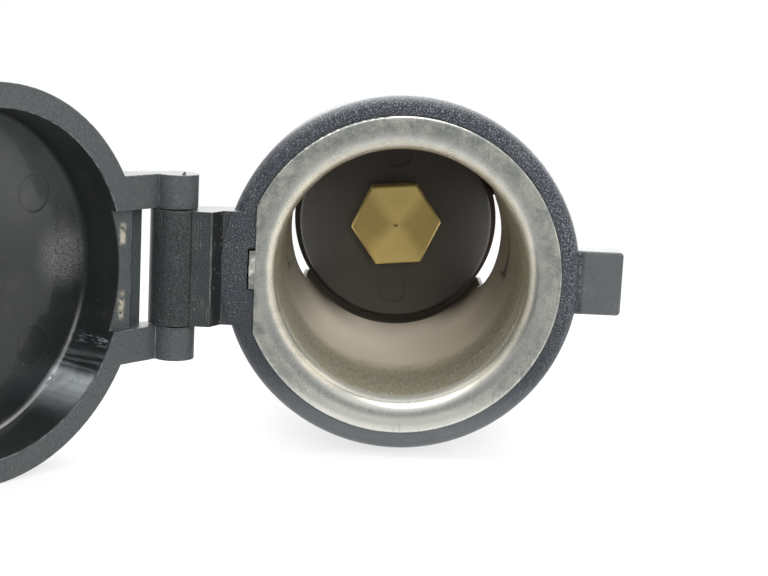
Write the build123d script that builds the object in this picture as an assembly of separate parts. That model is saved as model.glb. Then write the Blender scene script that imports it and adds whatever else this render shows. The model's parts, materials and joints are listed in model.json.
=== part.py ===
# Clip-in 12 V power socket for a car interior: a plated sleeve in a moulded bezel with a hinged lid.
# The mouth faces -Y and the lid's hinge stands on -X, with its axis upright along Z.
# The origin is on the bore axis, in the plane where the bezel's back seats on the trim panel.

import os
from math import cos, pi

from build123d import *

# Socket sleeve, drawn from sheet
bore_radius = 10.5
sleeve_wall = 0.6
lip_bend = 1.7
flange_land = 0.6
flange_proud = 0.4
flange_edge = 0.3
flat_cut = 1.15
tang_width = 3.2
tang_reach = 0.5
tang_length = 1.6
bottom_bend = 1.0
seat_swell = 0.2
seat_ahead = 0.4
slot_start = 29.5
slot_width = 8.9
slot_drop = 1.45
slot_corner = 2.8
slot_inset = 0.15
latch_width = 6.0
latch_length = 7.5
latch_flare = 0.9
latch_gap = 0.4
latch_kerf = 0.05
latch_play = 0.2

# Bezel housing
bezel_rim = 1.56
bezel_depth = 4.0
bezel_round = 1.2
barrel_length = 14.2
barrel_wall = 1.75
barrel_lead = 0.7
keyway_width = 3.0
keyway_depth = 0.8
sleeve_fit = 0.15
flange_fit = 0.04
tang_fit = 0.15

# Catch tab
tab_length = 3.6
tab_width = 5.4
tab_thickness = 2.2
tab_setback = 0.9
tab_corner = 0.35
tab_edge = 0.25

# Hinge
hinge_reach = 3.45
hinge_setback = 0.35
knuckle_radius = 1.73
arm_knuckle_radius = 2.2
arm_width = 9.6
arm_face = 3.1
arm_slope = 0.8
arm_heel = 0.8
lug_width = 2.82
gap_above = 0.1
gap_below = 0.2
pin_radius = 0.75
pin_press = 0.01
pin_fit = 0.05
pin_recess = 0.2
pin_cover = 0.6

# Lid, drawn shut and then turned to where it stands open
lid_clearance = 0.15
lid_wall = 1.9
lid_depth = 4.7
lid_top = 1.3
lid_round = 1.4
lid_floor_round = 0.4
lid_open = 129.0
rim_gap = 0.1
lug_thickness = 3.0
lug_taper = 3.2
relief_depth = 0.75
relief_edge = 3.95
ledge_depth = 1.55
ledge_edge = 2.1
ledge_thickness = 2.4
lip_width = 6.4
lip_setback = 0.9
lip_thickness = 1.6
catch_clearance = 0.25
catch_thickness = 1.4
catch_overlap = 0.3
pin_mark_radius = 1.55
pin_mark_depth = 0.15
pin_mark_x = 8.0
pin_mark_z = 6.2

# Insulators and centre contact
contact_depth = 35.5
insulator_gap = 0.8
insulator_thickness = 3.0
insulator_round = 0.3
insulator_mark_radius = 1.4
insulator_mark_offset = 7.1
spigot_wall = 1.0
spigot_depth = 1.0
spigot_fit = 0.1
rear_plate_thickness = 2.0
rear_plate_round = 4.8
rear_plate_height = 8.4
cheek_height = 1.0
head_across_flats = 7.95
head_height = 2.6
head_turn = 5.5
head_chamfer = 0.15
dimple_radius = 0.25
dimple_depth = 0.12
stud_radius = 2.5
stud_fit = 0.1
stud_end = 1.2
stud_chamfer = 0.5

# Terminals and fasteners
blade_width = 6.3
blade_thickness = 0.8
blade_end = 53.5
blade_bend = 0.6
blade_point = 1.2
blade_hole_radius = 0.9
blade_hole_inset = 3.4
positive_blade_offset = 7.0
foot_round = 4.0
foot_fit = 0.2
ground_gap = 0.2
rivet_radius = 1.5
rivet_head_radius = 1.8
rivet_head_height = 0.8
rivet_dome = 0.5
rivet_fit = 0.05
rivet_pocket_fit = 0.2
washer_radius = 4.6
washer_thickness = 1.2
washer_split = 0.8
nut_across_flats = 8.0
nut_height = 4.0
nut_chamfer = 0.4

# Planes along the bore, all measured from the panel seat
face_y = -bezel_depth
flange_front_y = face_y - flange_proud
flange_back_y = flange_front_y + sleeve_wall
lip_end_y = flange_back_y + lip_bend
insulator_y = face_y + contact_depth
bottom_y = insulator_y + insulator_thickness
bottom_back_y = bottom_y + sleeve_wall
rear_plate_y = bottom_back_y + rear_plate_thickness
foot_y = rear_plate_y + blade_thickness
washer_y = foot_y + washer_thickness
nut_y = washer_y + nut_height
blade_end_y = face_y + blade_end
slot_start_y = face_y + slot_start
seat_y = insulator_y - head_height - seat_ahead

# Radii that follow from the bore and the walls round it
sleeve_radius = bore_radius + sleeve_wall
cup_bore = bore_radius + seat_swell
cup_radius = sleeve_radius + seat_swell
lip_radius = lip_bend + sleeve_wall
flange_radius = bore_radius + lip_radius + flange_land
flat_x = flange_radius - flat_cut
seat_radius = flange_radius + flange_fit
bezel_radius = seat_radius + bezel_rim
barrel_bore = sleeve_radius + sleeve_fit
barrel_radius = barrel_bore + barrel_wall
tab_end = bezel_radius + tab_length
lid_bore = flange_radius + lid_clearance
lid_radius = lid_bore + lid_wall
hinge_x = -(lid_radius + hinge_reach)
hinge_y = face_y + hinge_setback
spigot_radius = stud_radius + stud_fit + spigot_wall
bottom_hole = spigot_radius + spigot_fit
ground_foot_z = -(rear_plate_round + ground_gap)
rivet_z = ground_foot_z - rivet_head_radius
ground_blade_z = rivet_z - rivet_head_radius - blade_bend
rim_y = face_y - rim_gap
floor_y = rim_y - lid_depth
lug_inner = (arm_width + gap_above + gap_below) / 2
lid_sag = (gap_below - gap_above) / 2
far = 4 * lid_radius


def turned(*points):
    return make_face(Polyline(*points, close=True))


def rounded(face, *corners):
    for point, radius in corners:
        face = fillet(face.vertices().sort_by_distance(point)[0], radius)
    return face


def about_bore(face):
    return revolve(face, Axis.Y)


def slab(x_range, y_range, z_range):
    ranges = (x_range, y_range, z_range)
    centre = [sum(pair) / 2 for pair in ranges]
    return Pos(*centre) * Box(*[abs(pair[1] - pair[0]) for pair in ranges])


def rod(radius, start_y, end_y, x=0.0, z=0.0):
    return Pos(x, (start_y + end_y) / 2, z) * Rot(90, 0, 0) * Cylinder(radius, end_y - start_y)


def post(radius, low_z, high_z):
    return Pos(hinge_x, hinge_y, (low_z + high_z) / 2) * Cylinder(radius, high_z - low_z)


def across(face, low_z, high_z):
    return Pos(0, 0, low_z) * extrude(face, high_z - low_z)


def hexagon_bar(across_flats, start_y, end_y, turn=0.0):
    outline = RegularPolygon(across_flats / 2, 6, major_radius=False, rotation=turn)
    return Pos(0, end_y, 0) * Rot(90, 0, 0) * extrude(outline, end_y - start_y)


def both_sides(shape):
    return shape + mirror(shape, Plane.YZ)


# Sleeve: one drawn cup with a rolled flange, a key tang, side slots and two lanced latches
def make_sleeve():
    profile = turned(
        (flange_radius, flange_front_y),
        (bore_radius, flange_front_y),
        (bore_radius, seat_y),
        (cup_bore, seat_y + seat_swell),
        (cup_bore, bottom_y),
        (bottom_hole, bottom_y),
        (bottom_hole, bottom_back_y),
        (cup_radius, bottom_back_y),
        (cup_radius, seat_y + seat_swell),
        (sleeve_radius, seat_y),
        (sleeve_radius, flange_back_y),
        (flange_radius, flange_back_y),
    )
    profile = rounded(
        profile,
        ((flange_radius, flange_front_y), flange_edge),
        ((bore_radius, flange_front_y), lip_radius),
        ((cup_bore, bottom_y), bottom_bend),
        ((cup_radius, bottom_back_y), bottom_bend + sleeve_wall),
        ((sleeve_radius, flange_back_y), lip_bend),
    )
    sleeve = about_bore(profile)
    sleeve -= slab((-far, -flat_x), (-far, lip_end_y), (-far, far))
    sleeve += slab(
        (-flat_x - tang_reach, -flat_x),
        (flange_front_y, flange_front_y + tang_length),
        (-tang_width / 2, tang_width / 2),
    )

    slot_outline = Rectangle(2 * (bottom_back_y + slot_corner - slot_start_y), slot_width)
    slot_outline = fillet(slot_outline.vertices(), slot_corner)
    slot = extrude(Plane.YZ * Pos(bottom_back_y + slot_corner, -slot_drop) * slot_outline, far)
    slot -= rod(cup_bore - slot_inset, bottom_y - bottom_bend, bottom_back_y)
    sleeve -= both_sides(slot)
    sleeve -= rod(rivet_radius + rivet_fit, bottom_y, bottom_back_y, 0, rivet_z)

    latch_front_y = barrel_length + latch_play
    latch_root_y = latch_front_y + latch_length
    opening = slab(
        (0, far),
        (latch_front_y - latch_gap, latch_root_y),
        (-latch_width / 2 - latch_kerf, latch_width / 2 + latch_kerf),
    )
    sleeve -= both_sides(opening)
    latch = about_bore(turned(
        (bore_radius, latch_root_y),
        (sleeve_radius, latch_root_y),
        (sleeve_radius + latch_flare, latch_front_y),
        (bore_radius + latch_flare, latch_front_y),
    ))
    latch &= slab((0, far), (-far, far), (-latch_width / 2, latch_width / 2))
    return sleeve + both_sides(latch)


# Bezel housing: ring, barrel, hinge arm with its knuckle, and the catch tab
def make_housing():
    profile = turned(
        (barrel_bore, face_y),
        (bezel_radius, face_y),
        (bezel_radius, 0),
        (barrel_radius, 0),
        (barrel_radius, barrel_length),
        (barrel_bore, barrel_length),
    )
    profile = rounded(profile, ((bezel_radius, face_y), bezel_round))
    profile = chamfer(profile.vertices().sort_by_distance((barrel_radius, barrel_length))[0], barrel_lead)
    housing = about_bore(profile)

    front_y = hinge_y - knuckle_radius
    arm_end = -seat_radius
    arm = turned(
        (hinge_x, front_y),
        (hinge_x + arm_face, front_y),
        (hinge_x + arm_face + arm_slope, face_y),
        (arm_end, face_y),
        (arm_end, -arm_heel),
        (hinge_x, hinge_y + knuckle_radius),
    )
    housing += across(arm, -arm_width / 2, arm_width / 2)
    housing += post(arm_knuckle_radius, -arm_width / 2, arm_width / 2)
    housing -= post(pin_radius - pin_press, -far, far)

    tab = slab(
        (seat_radius, tab_end),
        (face_y + tab_setback, face_y + tab_setback + tab_thickness),
        (-tab_width / 2, tab_width / 2),
    )
    tab = fillet(tab.edges().filter_by(Axis.Y).group_by(Axis.X)[-1], tab_corner)
    tab = fillet(tab.faces().sort_by(Axis.Y)[0].edges(), tab_edge)
    housing += tab

    seat = rod(seat_radius, face_y - far, flange_back_y)
    seat += rod(barrel_bore + lip_bend, flange_back_y, lip_end_y)
    housing -= seat - slab((-far, -flat_x - flange_fit), (-far, far), (-far, far))
    housing -= slab(
        (-flat_x - tang_reach - tang_fit, -barrel_bore),
        (face_y - far, flange_front_y + tang_length + tang_fit),
        (-tang_width / 2 - tang_fit, tang_width / 2 + tang_fit),
    )
    keyway = slab(
        (-keyway_width / 2, keyway_width / 2),
        (0, barrel_length),
        (barrel_radius - keyway_depth, far),
    )
    return housing - keyway - mirror(keyway, Plane.XY)


# Lid: a shallow cup with two hinge lugs, a ledge that covers the arm, and a catch lip
def make_lid():
    top_y = floor_y - lid_top
    shell = turned((0, top_y), (lid_radius, top_y), (lid_radius, rim_y), (0, rim_y))
    lid = about_bore(rounded(shell, ((lid_radius, top_y), lid_round)))

    ledge = turned(
        (hinge_x + ledge_edge, rim_y - ledge_depth),
        (hinge_x + relief_edge, rim_y - ledge_depth),
        (hinge_x + relief_edge, rim_y - relief_depth),
        (-lid_bore / 2, rim_y - relief_depth),
        (-lid_bore / 2, rim_y - ledge_depth - ledge_thickness),
        (hinge_x + ledge_edge, rim_y - ledge_depth - ledge_thickness),
    )
    lid -= slab((-far, -lid_bore / 2), (rim_y - relief_depth, rim_y), (-lug_inner, lug_inner))
    lid -= slab((-far, hinge_x + relief_edge), (rim_y - ledge_depth, rim_y), (-lug_inner, lug_inner))
    lid += across(ledge, -lug_inner, lug_inner)

    lug = turned(
        (hinge_x, hinge_y - knuckle_radius),
        (hinge_x + lug_taper, rim_y - lug_thickness),
        (-lid_bore / 2, rim_y - lug_thickness),
        (-lid_bore / 2, rim_y),
        (hinge_x, rim_y),
    )
    for low_z in (-lug_inner - lug_width, lug_inner):
        lid += across(lug, low_z, low_z + lug_width)
        lid += post(knuckle_radius, low_z, low_z + lug_width)

    catch_x = tab_end + catch_clearance
    lip_front_y = rim_y - lip_setback - lip_thickness
    catch_tip_y = face_y + tab_setback + tab_thickness - catch_overlap
    lip = turned(
        (lid_bore, lip_front_y),
        (catch_x + catch_thickness, lip_front_y),
        (catch_x + catch_thickness, catch_tip_y),
        (catch_x, catch_tip_y),
        (catch_x, rim_y - lip_setback),
        (lid_bore, rim_y - lip_setback),
    )
    lip = rounded(lip, ((catch_x + catch_thickness, lip_front_y), lip_thickness / 2))
    lid += across(lip, -lip_width / 2, lip_width / 2)

    cavity = turned((0, floor_y), (lid_bore, floor_y), (lid_bore, rim_y), (0, rim_y))
    lid -= about_bore(rounded(cavity, ((lid_bore, floor_y), lid_floor_round)))
    for x in (-pin_mark_x, pin_mark_x):
        for z in (-pin_mark_z, pin_mark_z):
            lid -= rod(pin_mark_radius, floor_y - pin_mark_depth, floor_y, x, z)
    lid -= post(pin_radius + pin_fit, -far, lug_inner + lug_width - pin_cover)

    hinge_axis = Axis((hinge_x, hinge_y, 0), (0, 0, 1))
    return (Pos(0, 0, -lid_sag) * lid).rotate(hinge_axis, -lid_open)


def make_hinge_pin():
    lug_end = lug_inner + lug_width
    low_z = pin_recess - lug_end - lid_sag
    return post(pin_radius, low_z, lug_end - pin_cover - pin_recess - lid_sag)


# Front insulator: the disc seen at the bottom of the bore, with a spigot through the sleeve
def make_front_insulator():
    radius = cup_bore - insulator_gap
    spigot_end_y = bottom_back_y + spigot_depth
    profile = turned(
        (0, insulator_y),
        (radius, insulator_y),
        (radius, bottom_y),
        (spigot_radius, bottom_y),
        (spigot_radius, spigot_end_y),
        (0, spigot_end_y),
    )
    profile = rounded(
        profile,
        ((radius, insulator_y), insulator_round),
        ((radius, bottom_y), bottom_bend),
    )
    disc = about_bore(profile)
    disc -= rod(stud_radius + stud_fit, insulator_y, spigot_end_y)
    for z in (-insulator_mark_offset, insulator_mark_offset):
        disc -= rod(insulator_mark_radius, insulator_y, insulator_y + pin_mark_depth, 0, z)
    pocket_y = bottom_y - rivet_head_height - rivet_pocket_fit
    return disc - rod(rivet_head_radius + rivet_pocket_fit, pocket_y, bottom_y, 0, rivet_z)


# Rear insulator: a plate behind the sleeve with two cheeks that keep the terminal from turning
def make_rear_insulator():
    centre_z = (rear_plate_height - rear_plate_round) / 2
    outline = RectangleRounded(
        2 * rear_plate_round + 2 * foot_fit,
        rear_plate_height + rear_plate_round,
        rear_plate_round,
    )
    plate = Pos(0, rear_plate_y, centre_z) * Rot(90, 0, 0) * extrude(outline, rear_plate_thickness)
    inner_x = blade_width / 2 + foot_fit
    outer_x = rear_plate_round
    cheek = slab(
        (inner_x, outer_x),
        (rear_plate_y, rear_plate_y + cheek_height),
        (washer_radius + foot_fit, rear_plate_height - rear_plate_round / 2),
    )
    plate += both_sides(cheek)
    plate -= rod(bottom_hole, bottom_back_y, bottom_back_y + spigot_depth + spigot_fit)
    return plate - rod(stud_radius + stud_fit, bottom_back_y, rear_plate_y)


# Centre contact: a turned hexagon head on a stud
def make_centre_contact():
    head_y = insulator_y - head_height
    head = hexagon_bar(head_across_flats, head_y, insulator_y, head_turn)
    head = chamfer(head.faces().sort_by(Axis.Y)[0].edges(), head_chamfer)
    stud = rod(stud_radius, insulator_y, nut_y + stud_end)
    stud = chamfer(stud.edges().sort_by(Axis.Y)[-1], stud_chamfer)
    dimple = about_bore(turned((0, head_y), (dimple_radius, head_y), (0, head_y + dimple_depth)))
    return head + stud - dimple


# A blade terminal: the foot lies on a plane across the bore and the blade runs back from its end
def make_blade(foot_back_y, blade_z, foot_start_z):
    side = 1 if blade_z > 0 else -1
    bend_z = blade_z + side * blade_thickness
    section = Polyline(
        (foot_start_z, foot_back_y - blade_thickness),
        (bend_z, foot_back_y - blade_thickness),
        (bend_z, blade_end_y),
        (blade_z, blade_end_y),
        (blade_z, foot_back_y),
        (foot_start_z, foot_back_y),
        close=True,
    )
    section = rounded(
        make_face(section),
        ((bend_z, foot_back_y - blade_thickness), blade_bend + blade_thickness),
        ((blade_z, foot_back_y), blade_bend),
    )
    across_x = Plane(origin=(0, 0, 0), x_dir=(0, 0, 1), z_dir=(-1, 0, 0))
    blade = extrude(across_x * section, blade_width / 2, both=True)
    tip = blade.edges().filter_by(Axis.Z).group_by(Axis.Y)[-1]
    blade = chamfer(tip, blade_point)
    hole = Pos(0, blade_end_y - blade_hole_inset, blade_z) * Cylinder(blade_hole_radius, far)
    return blade - hole


def make_positive_terminal():
    terminal = make_blade(foot_y, positive_blade_offset, 0)
    terminal += rod(foot_round, rear_plate_y, foot_y)
    return terminal - rod(stud_radius + stud_fit, rear_plate_y, foot_y)


def make_ground_terminal():
    foot_back_y = bottom_back_y + blade_thickness
    terminal = make_blade(foot_back_y, ground_blade_z, ground_foot_z)
    return terminal - rod(rivet_radius + rivet_fit, bottom_back_y, foot_back_y, 0, rivet_z)


def make_ground_rivet():
    foot_back_y = bottom_back_y + blade_thickness
    rivet = rod(rivet_radius, bottom_y, foot_back_y, 0, rivet_z)
    rivet += rod(rivet_head_radius, bottom_y - rivet_head_height, bottom_y, 0, rivet_z)
    head = rod(rivet_head_radius, foot_back_y, foot_back_y + rivet_head_height, 0, rivet_z)
    head = fillet(head.edges().sort_by(Axis.Y)[-1], rivet_dome)
    return rivet + head


def make_spring_washer():
    washer = rod(washer_radius, foot_y, washer_y) - rod(stud_radius + stud_fit, foot_y, washer_y)
    return washer - slab((0, far), (-far, far), (-washer_split / 2, washer_split / 2))


def make_contact_nut():
    corner_radius = nut_across_flats / 2 / cos(pi / 6)
    nut = hexagon_bar(nut_across_flats, washer_y, nut_y)
    crown = rod(corner_radius, washer_y, nut_y)
    nut &= chamfer(crown.edges(), nut_chamfer)
    return nut - rod(stud_radius, washer_y, nut_y)


nodes = {
    "socket_sleeve": make_sleeve(),
    "bezel_housing": make_housing(),
    "lid": make_lid(),
    "hinge_pin": make_hinge_pin(),
    "front_insulator": make_front_insulator(),
    "rear_insulator": make_rear_insulator(),
    "centre_contact": make_centre_contact(),
    "positive_terminal": make_positive_terminal(),
    "ground_terminal": make_ground_terminal(),
    "ground_rivet": make_ground_rivet(),
    "spring_washer": make_spring_washer(),
    "contact_nut": make_contact_nut(),
}

os.makedirs("parts", exist_ok=True)
for name, solid in nodes.items():
    export_step(solid, f"parts/{name}.step")
print("wrote", len(nodes), "nodes, hinge axis", round(hinge_x, 3), round(hinge_y, 3))
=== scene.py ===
import json
import math
from types import SimpleNamespace

import bmesh
import bpy
from mathutils import Matrix, Vector


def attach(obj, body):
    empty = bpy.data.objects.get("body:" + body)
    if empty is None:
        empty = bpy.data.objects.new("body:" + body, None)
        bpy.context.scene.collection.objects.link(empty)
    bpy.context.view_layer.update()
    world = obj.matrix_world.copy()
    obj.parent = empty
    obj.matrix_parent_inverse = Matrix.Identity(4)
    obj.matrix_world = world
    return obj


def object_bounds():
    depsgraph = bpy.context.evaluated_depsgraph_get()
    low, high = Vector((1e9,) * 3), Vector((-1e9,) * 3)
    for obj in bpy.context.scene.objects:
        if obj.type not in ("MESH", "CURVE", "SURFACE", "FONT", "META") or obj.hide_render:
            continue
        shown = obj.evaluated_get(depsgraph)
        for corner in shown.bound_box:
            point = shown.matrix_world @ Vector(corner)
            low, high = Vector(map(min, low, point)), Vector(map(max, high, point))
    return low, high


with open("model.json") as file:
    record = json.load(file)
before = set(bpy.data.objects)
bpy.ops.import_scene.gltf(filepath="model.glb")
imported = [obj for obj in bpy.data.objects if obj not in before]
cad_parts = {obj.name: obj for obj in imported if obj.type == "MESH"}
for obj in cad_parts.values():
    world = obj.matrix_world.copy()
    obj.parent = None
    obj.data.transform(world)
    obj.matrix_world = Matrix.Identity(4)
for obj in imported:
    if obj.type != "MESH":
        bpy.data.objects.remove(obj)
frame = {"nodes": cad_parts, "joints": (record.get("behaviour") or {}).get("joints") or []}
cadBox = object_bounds()
mm = 0.001
print("frame loaded, nodes:", len(frame["nodes"]))


# A socket that takes part in sums
class Wire:
    def __init__(self, board, socket):
        self.board = board
        self.socket = socket

    def maths(self, operation, first, second=0.0):
        return self.board.node("ShaderNodeMath", {"operation": operation}, {0: first, 1: second})

    def __add__(self, other):
        return self.maths("ADD", self, other)

    def __radd__(self, other):
        return self.maths("ADD", other, self)

    def __sub__(self, other):
        return self.maths("SUBTRACT", self, other)

    def __rsub__(self, other):
        return self.maths("SUBTRACT", other, self)

    def __mul__(self, other):
        return self.maths("MULTIPLY", self, other)

    def __lt__(self, other):
        return self.maths("LESS_THAN", self, other)

    def root(self):
        return self.maths("SQRT", self)

    def size(self):
        return self.maths("ABSOLUTE", self)

    def most(self, other):
        return self.maths("MAXIMUM", self, other)

    def least(self, other):
        return self.maths("MINIMUM", self, other)

    def turn(self, other):
        return self.maths("ARCTAN2", self, other)


# A node tree, with every node made by the same method
class Board:
    def __init__(self, tree):
        self.tree = tree

    def feed(self, socket, value):
        if isinstance(value, Wire):
            self.tree.links.new(value.socket, socket)
        elif socket.type == "RGBA":
            socket.default_value = (*value, 1.0)
        else:
            socket.default_value = value

    def node(self, kind, settings=None, links=None, out=0):
        made = self.tree.nodes.new(kind)
        for key, value in (settings or {}).items():
            setattr(made, key, value)
        for key, value in (links or {}).items():
            self.feed(made.inputs[key], value)
        return Wire(self, made.outputs[out]) if made.outputs else None

    def band(self, value, low, high, bottom=0.0, top=1.0):
        settings = {"interpolation_type": "SMOOTHSTEP"}
        links = {"Value": value, "From Min": low, "From Max": high, "To Min": bottom, "To Max": top}
        return self.node("ShaderNodeMapRange", settings, links)

    def axes(self, vector):
        return [self.node("ShaderNodeSeparateXYZ", links={0: vector}, out=axis) for axis in "XYZ"]

    def span(self, across, up):
        return (across * across + up * up).root()

    def seenRays(self):
        names = ("Is Camera Ray", "Is Glossy Ray", "Is Transmission Ray")
        return [self.node("ShaderNodeLightPath", out=name) for name in names]


# One material, patterned in millimetres
class Finish(Board):
    def __init__(self, name, **fixed):
        self.material = bpy.data.materials.new(name)
        self.material.use_nodes = True
        super().__init__(self.material.node_tree)
        self.shader = self.tree.nodes["Principled BSDF"]
        self.surface(**fixed)
        place = self.node("ShaderNodeTexCoord", out="Object")
        self.spot = self.node("ShaderNodeVectorMath", {"operation": "SCALE"}, {0: place, "Scale": 1 / mm})

    def surface(self, **values):
        for socket, value in values.items():
            self.feed(self.shader.inputs[socket.replace("_", " ")], value)
        return self.material

    def moved(self, shift=(0, 0, 0), turn=(0, 0, 0), scale=(1, 1, 1)):
        links = {"Vector": self.spot, "Location": shift, "Rotation": turn, "Scale": scale}
        return self.node("ShaderNodeMapping", links=links)

    def bundle(self, x, y, z):
        return self.node("ShaderNodeCombineXYZ", links={0: x, 1: y, 2: z})

    def noise(self, perMm, detail, rough, vector=None):
        links = {"Vector": vector or self.spot, "Scale": perMm, "Detail": detail, "Roughness": rough}
        return self.node("ShaderNodeTexNoise", links=links, out="Fac")

    def specks(self, perMm, share, reach, vector=None):
        links = {"Vector": vector or self.spot, "Scale": perMm}
        cell = self.node("ShaderNodeTexVoronoi", links=links, out="Color")
        gap = self.node("ShaderNodeTexVoronoi", links=links, out="Distance")
        chosen = self.node("ShaderNodeSeparateColor", links={0: cell}, out="Red") < share
        return chosen * self.band(gap, reach, reach * 0.4)

    def between(self, value, low, high, soft):
        return self.band(value, low - soft, low + soft) * self.band(value, high + soft, high - soft)

    def blend(self, amount, first, second):
        return self.node("ShaderNodeMix", {"data_type": "RGBA"}, {0: amount, 6: first, 7: second}, out=2)

    def bump(self, height, depthMm, normal=None):
        links = {"Height": height, "Distance": depthMm * mm}
        if normal:
            links["Normal"] = normal
        return self.node("ShaderNodeBump", links=links)

    def softEdge(self, radiusMm):
        return self.node("ShaderNodeBevel", {"samples": 6}, {"Radius": radiusMm * mm})

    def edgeWear(self, radiusMm):
        flat = self.node("ShaderNodeNewGeometry", out="Normal")
        links = {0: flat, 1: self.softEdge(radiusMm)}
        likeness = self.node("ShaderNodeVectorMath", {"operation": "DOT_PRODUCT"}, links, out="Value")
        return self.band(likeness, 0.995, 0.88)


# Where the camera stood for the photograph, and how it was held
cameraView = {
    "place": (-3.663, -146.78, 23.081),
    "turn": 0.896,
    "dip": 9.591,
    "roll": 2.794,
    "lens": 81.2,
    "sensor": 36.0,
    "clip": (0.005, 20.0),
}


def setCamera():
    turn, dip, roll = (math.radians(cameraView[key]) for key in ("turn", "dip", "roll"))
    ahead = Vector((math.sin(turn) * math.cos(dip), math.cos(turn) * math.cos(dip), -math.sin(dip)))
    side = Vector((math.cos(turn), -math.sin(turn), 0.0))
    above = side.cross(ahead)
    tiltedSide = math.cos(roll) * side + math.sin(roll) * above
    tiltedAbove = math.cos(roll) * above - math.sin(roll) * side
    pose = Matrix((tiltedSide, tiltedAbove, -ahead)).transposed().to_4x4()
    pose.translation = Vector(cameraView["place"]) * mm
    data = bpy.data.cameras.new("photoCamera")
    data.lens = cameraView["lens"]
    data.sensor_width = cameraView["sensor"]
    data.clip_start, data.clip_end = cameraView["clip"]
    camera = bpy.data.objects.new("photoCamera", data)
    camera.matrix_world = pose
    bpy.context.scene.collection.objects.link(camera)
    bpy.context.scene.camera = camera
    print("camera set")


# Lamps, sky and the pale sheet that the part lies on
studio = {
    "floorSize": 6.0,
    "floorGap": 0.05,  # millimetres under the part
    "floorFront": -0.2,  # the sheet ends a little way in front of the part
    "floorColour": (0.84, 0.86, 0.86),
    "glowNear": 0.72,  # share of plain white in the sheet under the part
    "glowFrom": 40.0,
    "glowTo": 150.0,
    "mirrorFar": 0.40,  # the sheet as metal shows it, well in front of the part
    "mirrorReach": (-30.0, -2.0),
    "overhead": {"place": (-0.10, 0.09, 0.55), "size": 0.78, "power": 3.6, "mirrored": True},
    "rim": {"place": (0.12, 0.44, 0.36), "size": 0.9, "power": 4.4, "mirrored": True},
    "front": {"place": (0.18, -0.98, 0.44), "size": 0.8, "power": 12.0, "mirrored": False},
    "skyFront": 0.42,
    "skyBack": 1.0,
    "skyTop": 0.9,
}


def addLamp(name, place, size, power, mirrored):
    data = bpy.data.lights.new(name, "AREA")
    data.shape = "DISK"
    data.size = size
    data.energy = power
    lamp = bpy.data.objects.new(name, data)
    lamp.location = place
    lamp.visible_glossy = mirrored
    lamp.rotation_mode = "QUATERNION"
    lamp.rotation_quaternion = (-Vector(place)).to_track_quat("-Z", "Y")
    bpy.context.scene.collection.objects.link(lamp)


def setSky():
    sky = bpy.data.worlds.new("paleSky")
    bpy.context.scene.world = sky
    sky.use_nodes = True
    board = Board(sky.node_tree)
    y, z = board.axes(board.node("ShaderNodeTexCoord", out="Generated"))[1:]
    toBack = board.band(y, -0.5, 0.25)
    toTop = board.band(z, 0.6, 0.8)
    level = studio["skyFront"] + toBack * (studio["skyBack"] - studio["skyFront"])
    level = level * (1 - toTop) + toTop * studio["skyTop"]
    camera, glossy, through = board.seenRays()
    seen = camera.most(glossy.most(through) * toBack * (1 - toTop))
    paper = board.tree.nodes["Background"]
    board.feed(paper.inputs["Color"], (1.0, 1.0, 1.0))
    board.feed(paper.inputs["Strength"], level * (1 - seen) + seen)


def setFloor():
    low = cadBox[0].z - studio["floorGap"] * mm
    middle = studio["floorFront"] + studio["floorSize"] / 2
    bpy.ops.mesh.primitive_plane_add(size=studio["floorSize"], location=(0.0, middle, low))
    floor = bpy.context.active_object
    floor.name = "paleFloor"
    sheet = Finish("paleSheet", Base_Color=studio["floorColour"], Roughness=0.9, Specular_IOR_Level=0.2)
    x, y = sheet.axes(sheet.moved(shift=(0.0, middle / mm, 0.0)))[:2]
    glow = sheet.band(sheet.span(x, y), studio["glowFrom"], studio["glowTo"], studio["glowNear"], 1.0)
    camera, glossy, through = sheet.seenRays()
    mirrored = sheet.band(y, *studio["mirrorReach"], studio["mirrorFar"], 1.0)
    level = camera + (1 - camera) * mirrored
    white = sheet.node("ShaderNodeEmission", links={"Color": (1.0, 1.0, 1.0), "Strength": level})
    body = Wire(sheet, sheet.shader.outputs[0])
    links = {0: (camera * glow).most(glossy).most(through), 1: body, 2: white}
    mixed = sheet.node("ShaderNodeMixShader", links=links)
    sheet.feed(sheet.tree.nodes["Material Output"].inputs["Surface"], mixed)
    floor.data.materials.append(sheet.material)
    print("floor laid at", round(low / mm, 2), "mm")


def setStudio():
    bpy.context.scene.view_settings.view_transform = "Standard"
    for name in ("overhead", "rim", "front"):
        addLamp(name + "Lamp", **studio[name])
    setSky()
    setFloor()
    print("studio set")


# Even shading on the turned and rounded faces of the CAD nodes
shading = {
    "smoothUnder": 24.0,  # degrees between two faces
    "merge": 0.001,  # millimetres between doubled points
}


def smoothGroup():
    group = bpy.data.node_groups.new("evenShading", "GeometryNodeTree")
    for way in ("INPUT", "OUTPUT"):
        group.interface.new_socket("Geometry", in_out=way, socket_type="NodeSocketGeometry")
    board = Board(group)
    start = board.node("NodeGroupInput")
    links = {"Geometry": start, "Distance": shading["merge"] * mm}
    joined = board.node("GeometryNodeMergeByDistance", links=links)
    faces = board.node("GeometryNodeSetShadeSmooth", {"domain": "FACE"}, {"Geometry": joined})
    angle = board.node("GeometryNodeInputMeshEdgeAngle")
    links = {"A": angle, "B": math.radians(shading["smoothUnder"])}
    shallow = board.node("FunctionNodeCompare", {"operation": "LESS_THAN"}, links)
    links = {"Geometry": faces, "Shade Smooth": shallow}
    edges = board.node("GeometryNodeSetShadeSmooth", {"domain": "EDGE"}, links)
    board.node("NodeGroupOutput", links={0: edges})
    return group


def dressNodes(finishes):
    group = smoothGroup()
    for name, material in finishes.items():
        node = frame["nodes"][name]
        even = node.modifiers.new("evenShading", "NODES")
        even.node_group = group
        node.data.materials.clear()
        node.data.materials.append(material)
    print("nodes dressed:", len(finishes))


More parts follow.
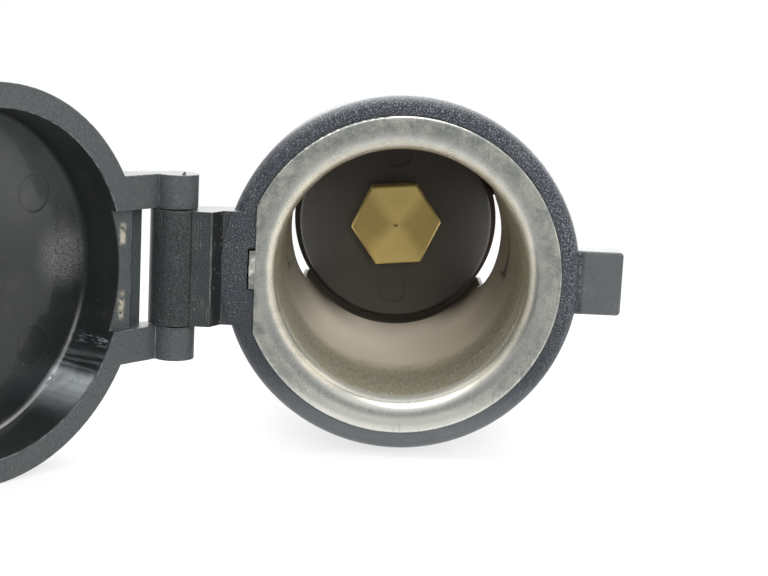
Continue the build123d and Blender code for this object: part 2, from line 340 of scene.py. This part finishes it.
# Black moulded plastic of the bezel: a spark-eroded ring, smoother arm and tab
bezel = {
    "dark": (0.012, 0.0135, 0.0145),
    "light": (0.040, 0.044, 0.046),
    "ringDark": (0.018, 0.0205, 0.025),
    "ringLight": (0.19, 0.212, 0.245),
    "overlay": (0.155, 0.168, 0.172),  # dust settled on the tab; on the lower half of the ring a painted reflection of the pale floor
    "groove": (0.006, 0.0065, 0.007),
    "dust": (0.30, 0.29, 0.25),
    "scuffAndGlint": (0.15, 0.155, 0.155),
    "ringRadius": 15.15,
    "ringDepth": (-0.6, -1.6),
    "tabFrom": (15.0, 15.5),
    "faceDepth": (-3.9, -4.05),
    "armHalf": (4.9, 4.7),
    "grainPerMm": 8.0,
    "armFrom": -17.4,
    "armTo": -15.5,
    "grooveX": -17.52,
    "slope": (-15.82, -15.05),  # sloped step between the arm and the ring, painted dark as shade
    "paintedEdgeShadeTo": (-14.0, -14.5),
    "flecked": (-15.7, -13.6),
}


def bezelPlastic():
    finish = Finish("bezelPlastic", IOR=1.5)
    x, y, z = finish.axes(finish.spot)
    radius = finish.span(x, z)
    ring = finish.band(radius, bezel["ringRadius"] + 0.15, bezel["ringRadius"] - 0.1)
    ring = ring * finish.band(y, *bezel["ringDepth"])
    grain = finish.noise(bezel["grainPerMm"], 3.0, 0.65)
    cloud = finish.noise(0.35, 4.0, 0.55)
    pits = finish.band(grain, 0.38, 0.66)
    plain = finish.blend(pits, bezel["dark"], bezel["light"])
    tab = finish.band(x, *bezel["tabFrom"])
    plain = finish.blend(tab * 0.27, plain, bezel["overlay"])
    # Painted shade: the grain's sparkle is dimmed on the left, where the open lid keeps light off the
    # ring, and towards the bottom and the very top
    paintedShade = finish.band(z, -11.0, 4.0, 0.35, 1.0) * finish.band(x, -15.0, -5.0, 0.55, 1.0)
    paintedShade = paintedShade * finish.band(z, 7.0, 12.0, 1.0, 0.88)
    sparkle = finish.band(grain, 0.49, 0.69) * paintedShade
    eroded = finish.blend(sparkle, bezel["ringDark"], bezel["ringLight"])
    # Lower half of the ring lightened: painted reflection of the pale floor below it
    eroded = finish.blend(finish.band(z, -7.0, -13.5) * 0.4, eroded, bezel["overlay"])
    colour = finish.blend(ring, plain, eroded)
    front = finish.band(y, *bezel["faceDepth"]) * finish.band(z.size(), *bezel["armHalf"])
    groove = finish.band((x - bezel["grooveX"]).size(), 0.07, 0.02) * front
    # Painted shade: the sloped step between the arm and the ring is darkened
    slope = finish.between(x, *bezel["slope"], 0.04) * front
    # Painted shade: a dark line where the ring's rounded edge runs into the arm
    paintedEdgeShade = finish.band((radius - bezel["ringRadius"]).size(), 0.1, 0.03) * front
    paintedEdgeShade = paintedEdgeShade * finish.band(x, *bezel["paintedEdgeShadeTo"])
    # The groove colour also paints the shade on the step and along the ring's edge
    colour = finish.blend(groove.most(slope * 0.8).most(paintedEdgeShade * 0.7), colour, bezel["groove"])
    lines = finish.noise(1.0, 3.0, 0.6, vector=finish.moved(scale=(11.0, 11.0, 0.7)))
    arm = finish.between(x, bezel["armFrom"], bezel["armTo"], 0.25)
    scuffs = arm * finish.band(lines, 0.52, 0.68) * finish.band(cloud, 0.4, 0.6)
    wear = finish.edgeWear(0.18) * finish.band(finish.noise(1.4, 3.0, 0.6), 0.4, 0.65)
    # Painted highlight: a light line along the top of the step, broken by the lines; it shares the scuff
    # colour
    edge = finish.band((x - bezel["slope"][0]).size(), 0.1, 0.03) * front
    edge = edge * finish.band(lines, 0.42, 0.6)
    colour = finish.blend((scuffs * 0.5).most(wear * 0.4).most(edge * 0.8), colour, bezel["scuffAndGlint"])
    flecks = finish.specks(2.3, 0.35, 0.24) * finish.between(x, *bezel["flecked"], 0.3) * front
    colour = finish.blend(flecks * 0.5, colour, bezel["dust"])
    dust = finish.specks(2.4, 0.16, 0.15) * 0.5 + finish.band(cloud, 0.5, 0.8) * pits * 0.12
    dust = dust.least(0.8)
    colour = finish.blend(dust, colour, bezel["dust"])
    rough = 0.28 + cloud * 0.12 + dust * 0.25
    height = grain * (0.45 + ring * 0.55) + lines * arm * 0.4
    normal = finish.bump(height - groove, 0.03, finish.softEdge(0.14))
    return finish.surface(Base_Color=colour, Roughness=rough, Normal=normal)


# The lid, patterned as it lies when shut: glossy cup, satin rim, lugs and back
lid = {
    "cup": (0.0115, 0.0138, 0.0138),
    "haze": (0.034, 0.038, 0.038),  # upper part of the floor
    "satinDark": (0.036, 0.041, 0.043),
    "satinLight": (0.067, 0.075, 0.077),
    "dust": (0.40, 0.36, 0.28),
    "glare": (0.36, 0.365, 0.35),  # painted reflection: a glare patch on the floor near the hinge, broken into specks
    "dragAndGlare": (0.48, 0.52, 0.545),
    "rimPlane": -4.1,
    "floorPlane": -8.8,
    "filletDepth": (-7.6, -8.0),
    "boreRadius": 13.55,
    "dragAngles": (-2.46, -2.1),  # scuffed stretch of the wall with a painted reflection, in radians round the cup
    "scrapeAngles": (-2.71, -2.67),
    "glarePlace": (-11.2, 0.9),
    "glareReach": (3.6, 0.4),
    "stripDust": ((-13.95, 2.9, 1.1), (-13.95, -3.0, 1.4)),  # x, z and half length of two deposits
    "stripDepth": (-5.2, -4.5),
}


# Where a point of the open lid lies when the lid is shut
def shutPlace(finish):
    hinge = frame["joints"][0]
    openAngle = math.radians(hinge["range_deg"][1])
    centre = Vector(hinge["pos_m"]) / mm
    shift = centre - Matrix.Rotation(openAngle, 3, "Z") @ centre
    return finish.axes(finish.moved(shift=shift, turn=(0, 0, openAngle)))


# Scuffs across the wall of the cup, brightened there as a painted reflection, and the lines that they
# follow
def wallScuffsAndGlare(finish, wall, around, y):
    along = around * lid["boreRadius"]
    lines = finish.noise(1.0, 4.0, 0.6, vector=finish.bundle(along * 2.4, y * 0.12, 0.0))
    fineLines = finish.noise(1.0, 3.0, 0.6, vector=finish.bundle(along * 9.0, y * 0.7, 0.0))
    low, high = lid["dragAngles"]
    wearAndHighlight = finish.band(finish.noise(0.55, 4.0, 0.6), 0.3, 0.62, 0.55, 1.0)
    wearAndHighlight = wearAndHighlight * finish.band(lines, 0.25, 0.75, 0.75, 1.0)
    dragAndGlare = finish.band(around, low - 0.05, low + 0.03) * finish.band(around, high, low - 0.1) * wearAndHighlight
    scrape = finish.between(around, *lid["scrapeAngles"], 0.03) * finish.band(fineLines, 0.52, 0.64)
    faint = finish.between(around, low - 0.14, low, 0.05) * wearAndHighlight * finish.band(lines, 0.4, 0.65)
    return wall * dragAndGlare.most(scrape * 0.55).most(faint * 0.26), lines


# Two caked deposits on the strip between the lugs
def stripDeposits(finish, x, y, z):
    deposits = 0.0
    for placeX, placeZ, half in lid["stripDust"]:
        length = finish.band((z - placeZ).size(), half, half * 0.5)
        deposits = finish.band((x - placeX).size(), 0.5, 0.1) * length + deposits
    clumps = finish.band(finish.noise(2.5, 4.0, 0.6), 0.38, 0.55)
    return deposits * finish.between(y, *lid["stripDepth"], 0.1) * clumps


def lidPlastic():
    finish = Finish("lidPlastic", IOR=1.5, Coat_Roughness=0.07, Coat_IOR=4.0)
    x, y, z = shutPlace(finish)
    radius = finish.span(x, z)
    bore = lid["boreRadius"]
    inside = finish.band(radius, bore + 0.2, bore + 0.02)
    cup = inside * finish.between(y, lid["floorPlane"] - 0.4, lid["rimPlane"] - 0.15, 0.1)
    wall = cup * finish.band(radius, bore - 0.5, bore - 0.1)
    grain = finish.noise(7.0, 3.0, 0.65)
    cloud = finish.noise(0.3, 4.0, 0.55)
    pits = finish.band(grain, 0.36, 0.66)
    satin = finish.blend(pits, lid["satinDark"], lid["satinLight"])
    hazy = finish.blend(finish.band(z, 0.0, 8.0) * (1 - wall), lid["cup"], lid["haze"])
    colour = finish.blend(cup, satin, hazy)
    dragAndGlare, lines = wallScuffsAndGlare(finish, wall, z.turn(x), y)
    # Scuffs on the wall, lightened as a painted reflection of the glare on it
    colour = finish.blend(dragAndGlare * 0.88, colour, lid["dragAndGlare"])

    # Painted reflection: the glare patch on the floor near the hinge
    glareX, glareZ = lid["glarePlace"]
    patch = finish.band(finish.span(x - glareX, z - glareZ), *lid["glareReach"]) * cup * (1 - wall)
    sparkle = finish.specks(4.2, 0.6, 0.24).most(finish.band(grain, 0.3, 0.7) * 0.5) * patch
    colour = finish.blend(sparkle * 0.74, colour, lid["glare"])
    wear = finish.edgeWear(0.16) * finish.band(finish.noise(1.4, 3.0, 0.6), 0.4, 0.65) * (1 - cup)
    colour = finish.blend(wear * 0.35, colour, lid["dragAndGlare"])
    bits = finish.specks(2.6, 0.2, 0.12) * (0.35 + cup * 0.15)
    overlay = finish.band(cloud, 0.5, 0.85) * 0.05
    dust = (bits + overlay).most(stripDeposits(finish, x, y, z) * 0.8)
    colour = finish.blend(dust, colour, lid["dust"])

    corner = cup * finish.between(radius, bore - 0.5, bore - 0.06, 0.04)
    corner = corner * finish.band(y, *lid["filletDepth"])
    lower = finish.band(z, -2.0, -6.0)
    rough = 0.34 + cloud * 0.12 - cup * 0.08 + dust * 0.25 + dragAndGlare * 0.1 + corner * (0.5 - lower * 0.64)
    height = grain * (1 - cup * 0.8) + lines * wall * 0.2
    normal = finish.bump(height, 0.016, finish.softEdge(0.12))
    gloss = ((cup - wall).most(0.0) * 0.05).most(corner * lower)
    return finish.surface(Base_Color=colour, Roughness=rough, Normal=normal, Coat_Weight=gloss)


# Nickel plate on the drawn sleeve: mottled flange, bright lip, dull bore with a grimy mouth, with painted
# highlights, shade and light on the lip and in the bore
nickel = {
    "flange": (0.655, 0.655, 0.585),
    "mottle": (0.225, 0.25, 0.255),
    "lip": (0.62, 0.62, 0.57),
    "wearAndHighlight": (0.90, 0.89, 0.83),
    "tan": (0.255, 0.195, 0.115),  # brown painted shade on the inside of the lip at the top
    "cream": (0.78, 0.71, 0.565),  # painted highlight along its roll, strongest on the left
    "bore": (0.53, 0.505, 0.44),
    "boreUpper": (0.33, 0.30, 0.24),
    "dustAndLightBed": (0.76, 0.68, 0.57),  # pale dust along the bottom of the bore, with painted light
    # brighter still deeper in: painted light towards the disc
    "deepPaintedLight": (1.0, 0.905, 0.77),
    "grime": (0.19, 0.168, 0.10),
    "paleGrime": (0.35, 0.322, 0.235),
    "rust": (0.14, 0.075, 0.035),
    "paintedShadow": (0.05, 0.036, 0.024),
    "tang": (0.17, 0.17, 0.16),
    "latchShade": (0.16, 0.155, 0.14),  # painted shade in the recess of the latches
    "outside": (0.48, 0.475, 0.455),
    "dulled": (0.34, 0.337, 0.322),
    "lipEnd": -2.6,
    "mottleFrom": 12.2,
    "rollRadii": (11.55, 12.05),  # dark band where the flange rolls over: painted dark reflection, streaked
    "lipHighlightRadii": (10.75, 11.25),
    "lipShineRadii": (10.85, 11.2),  # painted highlight round the lip, stronger at the top
    "mouthRadii": (11.0, 10.85),
    "mouthDepth": (-2.4, -3.5),
    "tanDepth": (-3.1, -0.9),
    "bedAngles": (1.25, 0.6),  # either side of straight down
    "bedDepth": (2.0, 7.0),
    "deepBedDepth": (9.0, 24.0),
    "shadowDepth": (20.0, 31.0),
    "shadowAngles": (0.5, 1.2),
    "discDepth": (31.0, 31.4),
    "grimeEnd": 8.0,
    "outsideRadii": (10.98, 11.06),
    "backDepth": (34.7, 34.9),
    "latchShadeRadii": (10.8, 11.02),
    "latchShadeDepth": (12.5, 13.0),
    "tangFrom": -12.2,
    "tangHalf": (1.75, 1.62),
    "brightArcs": (  # thin bright arcs near the mouth: depth, slope and angles
        (-0.9, 5.2, -0.62, -0.03),
        (-1.7, 4.0, -0.75, -0.2),
        (-0.2, 4.6, -0.9, -0.3),
    ),
}


# Places on the sleeve, and the patterns that its stretches share
def sleevePlaces(finish):
    x, y, z = finish.axes(finish.spot)
    at = SimpleNamespace(x=x, y=y, z=z, radius=finish.span(x, z), around=z.turn(x))
    at.aside = (at.around + math.pi / 2).size()  # angle from straight down
    at.face = finish.band(y, nickel["lipEnd"] + 0.3, nickel["lipEnd"] - 0.5)  # flange and lip
    outer = finish.band(at.radius, nickel["mottleFrom"] - 0.4, nickel["mottleFrom"] + 0.3)
    at.outer = at.face * outer
    at.sunlit = finish.band(z, -8.0, -12.0) * at.face
    at.fine = finish.noise(8.0, 3.0, 0.6)
    at.mottle = finish.noise(0.8, 5.0, 0.62)
    at.broad = finish.noise(0.5, 3.0, 0.5)
    return at


def flangeColour(finish, at, spots):
    colour = finish.blend(at.outer, nickel["lip"], nickel["flange"])
    dulled = spots * 0.75 + at.outer * finish.band(at.fine, 0.5, 0.7) * 0.15
    colour = finish.blend(dulled, colour, nickel["mottle"])
    # Painted light: the bottom of the flange is whitened where it faces the pale floor
    colour = finish.blend(at.sunlit * at.outer * 0.25, colour, nickel["wearAndHighlight"])
    # Painted dark reflection on the lower roll of the flange, streaked
    rollStreaks = finish.noise(1.0, 3.0, 0.6, vector=finish.bundle(at.around * 55.0, at.radius * 0.6, 0.0))
    rollDarkReflection = finish.between(at.radius, *nickel["rollRadii"], 0.2) * finish.band(at.z, -1.0, -7.0)
    rollDarkReflection = rollDarkReflection * finish.band(rollStreaks, 0.3, 0.7, 0.2, 0.5)
    colour = finish.blend(rollDarkReflection, colour, nickel["mottle"])
    nicks = finish.specks(2.4, 0.25, 0.15) * at.outer * finish.band(at.x + at.z, 8.0, 13.0)
    colour = finish.blend(nicks * 0.7, colour, nickel["wearAndHighlight"])
    hair = finish.noise(1.0, 2.0, 0.5, vector=finish.moved(turn=(0, 0.7, 0), scale=(9.0, 1.0, 0.5)))
    return finish.blend(finish.band(hair, 0.66, 0.7) * at.face * 0.5, colour, nickel["mottle"])


def boreColour(finish, at, dustAndLightBed, mouth):
    colour = finish.blend(finish.band(at.z, -6.0, 0.0), nickel["bore"], nickel["boreUpper"])
    # Pale dust along the bottom of the bore, brighter deeper in as painted light
    dusty = finish.blend(finish.band(at.y, *nickel["deepBedDepth"]), nickel["dustAndLightBed"], nickel["deepPaintedLight"])
    colour = finish.blend(dustAndLightBed, colour, dusty)
    # Painted shadow: brown shade at the sides of the deep bore and round the edge of the disc
    paintedShadow = finish.between(at.aside, *nickel["shadowAngles"], 0.25)
    paintedShadow = paintedShadow * finish.band(at.y, *nickel["shadowDepth"])
    paintedShadow = paintedShadow.most(finish.band(at.y, *nickel["discDepth"]))
    colour = finish.blend(paintedShadow * 0.9, colour, nickel["paintedShadow"])
    streaks = finish.noise(3.4, 3.0, 0.6, vector=finish.bundle(at.around * 10.5, at.y * 0.22, 0.0))
    belt = finish.blend(finish.band(streaks, 0.3, 0.75), nickel["grime"], nickel["paleGrime"])
    colour = finish.blend(mouth * (0.62 + finish.band(at.fine, 0.35, 0.65) * 0.28), colour, belt)
    along = finish.moved(scale=(1.0, 0.24, 1.0))  # dragged lengthwise by plugs
    bits = finish.specks(3.0, 0.2, 0.22, vector=along)
    bits = bits * finish.band(at.y, nickel["grimeEnd"] + 3.0, 0.0)
    colour = finish.blend(bits * 0.5, colour, nickel["rust"])
    grains = finish.specks(2.7, 0.2, 0.22, vector=along)
    grains = grains * finish.band(at.y, nickel["grimeEnd"] + 2.5, 1.0)
    grains = grains * finish.band(at.x - at.z * 0.3, -5.0, 7.0, 0.35, 0.9)
    colour = finish.blend(grains, colour, nickel["wearAndHighlight"])
    for depth, slope, low, high in nickel["brightArcs"]:
        line = (at.y - depth + (at.around - high) * slope).size()
        brightArc = finish.band(line, 0.13, 0.03) * finish.between(at.around, low, high, 0.12)
        colour = finish.blend(brightArc * 0.55, colour, nickel["wearAndHighlight"])
    return colour


def nickelPlate():
    finish = Finish("nickelPlate")
    at = sleevePlaces(finish)
    clouds = finish.band(at.mottle, 0.36, 0.64) * (at.face * 0.35 + at.outer * 0.65)
    grit = finish.noise(4.5, 3.0, 0.6)
    spots = clouds * finish.band(grit, 0.32, 0.64, 0.5, 1.0) * (1 - at.sunlit * 0.8)
    dustAndLightBed = finish.band(at.aside, *nickel["bedAngles"]) * finish.band(at.y, *nickel["bedDepth"])
    soiled = at.y + (at.broad - 0.5) * 3.0 + at.aside * 1.2
    mouth = finish.band(soiled, nickel["grimeEnd"] + 3.6, nickel["grimeEnd"] - 1.8) * (1 - at.face)
    outside = finish.band(at.radius, *nickel["outsideRadii"])
    outside = outside.most(finish.band(at.y, *nickel["backDepth"])) * (1 - at.face)
    drawn = finish.noise(1.0, 3.0, 0.6, vector=finish.bundle(at.around * 40.0, at.y * 0.25, 0.0))
    handled = finish.band(at.broad, 0.4, 0.75) * 0.6 + finish.band(drawn, 0.45, 0.7) * 0.25
    barrel = finish.blend(handled, nickel["outside"], nickel["dulled"])
    wall = finish.blend(outside, boreColour(finish, at, dustAndLightBed, mouth), barrel)
    colour = finish.blend(at.face, wall, flangeColour(finish, at, spots))

    # Painted shade: brown on the upper inside of the lip
    overlay = finish.between(at.y, *nickel["tanDepth"], 0.5) * finish.band(at.z, -5.5, 0.5)
    overlay = overlay * finish.band(at.broad, 0.3, 0.6, 0.55, 0.9) * finish.band(at.fine, 0.3, 0.6, 0.75, 1.0)
    colour = finish.blend(overlay, colour, nickel["tan"])
    # Painted shade: a dark line where the latches sit in their recess
    latchShade = finish.between(at.radius, *nickel["latchShadeRadii"], 0.03)
    latchShade = latchShade * finish.band(at.y, *nickel["latchShadeDepth"])
    colour = finish.blend(latchShade, colour, nickel["latchShade"])
    tang = finish.band(at.x, nickel["tangFrom"], nickel["tangFrom"] - 0.1)
    tang = tang * finish.band(at.z.size(), *nickel["tangHalf"])
    colour = finish.blend(tang * finish.band(at.mottle, 0.3, 0.55), colour, nickel["tang"])
    # Painted highlight: a bright band round the lip, and the bright band at the bottom of the mouth; the
    # colour is shared with the light nicks and specks
    pale = finish.between(at.radius, *nickel["lipShineRadii"], 0.18) * at.face
    pale = pale * finish.band(at.z, -5.0, 4.0, 0.1, 0.5)
    mouthEdge = finish.band(at.radius, *nickel["mouthRadii"]) * finish.band(at.y, *nickel["mouthDepth"])
    pale = pale.most(mouthEdge * finish.band(at.z, -6.0, -9.5))
    colour = finish.blend(pale * 0.7, colour, nickel["wearAndHighlight"])
    # Painted highlight: a cream band along the roll of the lip, strongest on the left
    lipHighlight = finish.between(at.radius, *nickel["lipHighlightRadii"], 0.24) * at.face
    lipHighlight = lipHighlight * finish.band(at.z, -10.8, -8.6)
    lipHighlight = lipHighlight * finish.band(at.x + at.z * 0.5, 2.0, -6.0, 0.5, 0.78)
    lipHighlight = lipHighlight * finish.band(at.mottle, 0.3, 0.65, 1.0, 0.75)
    colour = finish.blend(lipHighlight, colour, nickel["cream"])

    metal = 0.45 + at.face * 0.45 - (dustAndLightBed * 0.4).most(mouth * 0.25) * (1 - at.face) - tang * 0.4
    metal = (metal - pale * 0.4 - lipHighlight * 0.5 - at.sunlit * at.outer * 0.12).most(outside * 0.95)
    rough = 0.44 - at.face * 0.2 + spots * 0.12 + mouth * 0.12 + at.fine * 0.06 * (1 - at.face)
    rough = rough - outside * 0.14 + outside * handled * 0.1
    height = at.fine * (0.4 - (at.face + outside) * 0.34) + at.mottle * at.outer * 0.5
    normal = finish.bump(height, 0.008, finish.softEdge(0.08))
    return finish.surface(Base_Color=colour, Metallic=metal, Roughness=rough, Normal=normal)


# Dull black moulding of the two insulators
insulation = {
    "colour": (0.058, 0.0545, 0.048),
    "dust": (0.24, 0.21, 0.165),
}


def insulatorPlastic():
    finish = Finish("insulatorPlastic", IOR=1.48)
    cloud = finish.noise(0.4, 4.0, 0.55)
    grain = finish.noise(5.0, 3.0, 0.55)
    dust = finish.specks(1.4, 0.14, 0.12) * 0.35 + finish.band(cloud, 0.35, 0.8) * 0.06
    colour = finish.blend(dust, insulation["colour"], insulation["dust"])
    rough = 0.56 + cloud * 0.16
    normal = finish.bump(grain, 0.012, finish.softEdge(0.1))
    return finish.surface(Base_Color=colour, Roughness=rough, Normal=normal)


# Turned brass of the centre contact, with its lathe rings
contact = {
    "bright": (1.0, 0.80, 0.32),
    "dull": (0.65, 0.49, 0.185),
    "stud": (0.44, 0.335, 0.155),
    "studDepth": (34.0, 35.0),
    "ringsPerMm": 11.0,
}


def turnedBrass():
    finish = Finish("turnedBrass")
    x, y, z = finish.axes(finish.spot)
    outward = finish.bundle(finish.span(x, z), 0.0, 0.0)
    rings = finish.noise(contact["ringsPerMm"], 3.0, 0.65, vector=outward)
    cloud = finish.noise(0.9, 4.0, 0.55)
    sweep = finish.band(x.size() - z.size() * 0.7, -0.6, 1.6)  # painted sheen: duller at the sides than above and below, as light falls on a turned face
    dulled = sweep * 0.75 + finish.band(cloud, 0.35, 0.75) * 0.06 + finish.band(rings, 0.45, 0.7) * 0.08
    colour = finish.blend(dulled, contact["bright"], contact["dull"])
    colour = finish.blend(finish.band(y, *contact["studDepth"]), colour, contact["stud"])
    rough = 0.33 + cloud * 0.1
    facing = finish.axes(finish.node("ShaderNodeNewGeometry", out="Normal"))[1]
    flank = finish.band(facing, -0.9, -0.5)  # sawn sides of the head, duller than its face
    normal = finish.bump(rings, 0.03, finish.softEdge(0.06))
    return finish.surface(Base_Color=colour, Metallic=1 - flank * 0.5, Roughness=rough, Normal=normal)


# Stamped brass of the two blades
blade = {
    "bright": (0.47, 0.35, 0.15),
    "dull": (0.37, 0.275, 0.12),
}


def bladeBrass():
    finish = Finish("bladeBrass", Metallic=1.0)
    grain = finish.noise(1.0, 3.0, 0.6, vector=finish.moved(scale=(9.0, 0.6, 9.0)))
    cloud = finish.noise(0.6, 5.0, 0.6)
    colour = finish.blend(finish.band(cloud, 0.35, 0.8), blade["bright"], blade["dull"])
    rough = 0.34 + grain * 0.14 + cloud * 0.06
    normal = finish.bump(grain, 0.008, finish.softEdge(0.08))
    return finish.surface(Base_Color=colour, Roughness=rough, Normal=normal)


# Zinc on the nut, washer and rivet
zincPlate = {
    "bright": (0.55, 0.56, 0.57),
    "dull": (0.44, 0.45, 0.465),
}


def zincSteel():
    finish = Finish("zincSteel", Metallic=1.0)
    cloud = finish.noise(0.9, 5.0, 0.6)
    fine = finish.noise(6.0, 3.0, 0.6)
    colour = finish.blend(finish.band(cloud, 0.35, 0.75), zincPlate["bright"], zincPlate["dull"])
    rough = 0.34 + cloud * 0.1 + fine * 0.05
    normal = finish.bump(fine, 0.006, finish.softEdge(0.08))
    return finish.surface(Base_Color=colour, Roughness=rough, Normal=normal)


# Bright drawn wire of the hinge pin
pinWire = {
    "bright": (0.62, 0.61, 0.59),
    "dull": (0.42, 0.41, 0.39),
}


def pinSteel():
    finish = Finish("pinSteel", Metallic=1.0)
    drawn = finish.noise(1.0, 3.0, 0.6, vector=finish.moved(scale=(14.0, 14.0, 0.5)))
    colour = finish.blend(drawn, pinWire["bright"], pinWire["dull"])
    normal = finish.bump(drawn, 0.005)
    return finish.surface(Base_Color=colour, Roughness=0.22 + drawn * 0.15, Normal=normal)


# A new piece that moves with a body and takes a slot's finish
def addPiece(name, shape, material, body):
    mesh = bpy.data.meshes.new(name)
    bmesh.ops.remove_doubles(shape, verts=shape.verts, dist=shading["merge"])
    bmesh.ops.recalc_face_normals(shape, faces=shape.faces)
    bmesh.ops.scale(shape, vec=(mm, mm, mm), verts=shape.verts)
    shape.to_mesh(mesh)
    shape.free()
    mesh.materials.append(material)
    piece = bpy.data.objects.new(name, mesh)
    bpy.context.scene.collection.objects.link(piece)
    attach(piece, body)
    print("piece made:", name)


# Thread on the end of the stud that stands out of the nut
thread = {
    "root": 2.36,
    "crest": 2.62,
    "halfWidth": 0.34,
    "start": 43.0,
    "pitch": 0.8,
    "turns": 1.05,
    "steps": 60,
}


def addThread(material):
    shape = bmesh.new()
    root = thread["root"]
    low = thread["start"] - thread["halfWidth"]
    high = thread["start"] + thread["halfWidth"]
    corners = ((root, low, 0.0), (thread["crest"], thread["start"], 0.0), (root, high, 0.0))
    ridge = shape.faces.new([shape.verts.new(corner) for corner in corners])
    steps = thread["steps"]
    rise = (0.0, thread["pitch"] * thread["turns"] / steps, 0.0)
    sweep = {"cent": (0.0, 0.0, 0.0), "axis": (0.0, 1.0, 0.0), "dvec": rise}
    turned = 2 * math.pi * thread["turns"]
    geometry = [ridge] + list(ridge.edges) + list(ridge.verts)
    made = bmesh.ops.spin(shape, geom=geometry, angle=turned, steps=steps, use_duplicate=False, **sweep)
    for vert in made["geom_last"]:
        if isinstance(vert, bmesh.types.BMVert):  # the ridge runs out at its end
            flat = Vector((vert.co.x, 0.0, vert.co.z)).normalized() * root
            vert.co = (flat.x, vert.co.y, flat.z)
    addPiece("studThread", shape, material, "socket")


# Burr that the mould left on the upper lug of the lid
burr = {
    "place": (-18.3, -4.75, 7.70),
    "foot": 0.2,
    "tip": 0.05,
    "height": 0.3,
    "sides": 9,
    "cuts": 2,
    "lean": (0.07, -0.05, 0.0),
}


def addBurr(material):
    shape = bmesh.new()
    sizes = {"radius1": burr["foot"], "radius2": burr["tip"], "depth": burr["height"]}
    bmesh.ops.create_cone(shape, cap_ends=True, segments=burr["sides"], **sizes)
    half = burr["height"] / 2
    flanks = [edge for edge in shape.edges if abs(edge.verts[0].co.z - edge.verts[1].co.z) > half]
    bmesh.ops.subdivide_edges(shape, edges=flanks, cuts=burr["cuts"])
    for vert in shape.verts:
        up = (vert.co.z + half) / burr["height"]
        vert.co += Vector(burr["lean"]) * up * up
    bmesh.ops.translate(shape, vec=Vector(burr["place"]) + Vector((0, 0, half)), verts=shape.verts)
    addPiece("lugBurr", shape, material, "lid")


setCamera()
setStudio()

insulator = insulatorPlastic()
brass = turnedBrass()
cover = lidPlastic()
blades = bladeBrass()
zinc = zincSteel()
dressNodes({
    "socket_sleeve": nickelPlate(),
    "bezel_housing": bezelPlastic(),
    "lid": cover,
    "hinge_pin": pinSteel(),
    "front_insulator": insulator,
    "rear_insulator": insulator,
    "centre_contact": brass,
    "positive_terminal": blades,
    "ground_terminal": blades,
    "ground_rivet": zinc,
    "spring_washer": zinc,
    "contact_nut": zinc,
})
addThread(brass)
addBurr(cover)
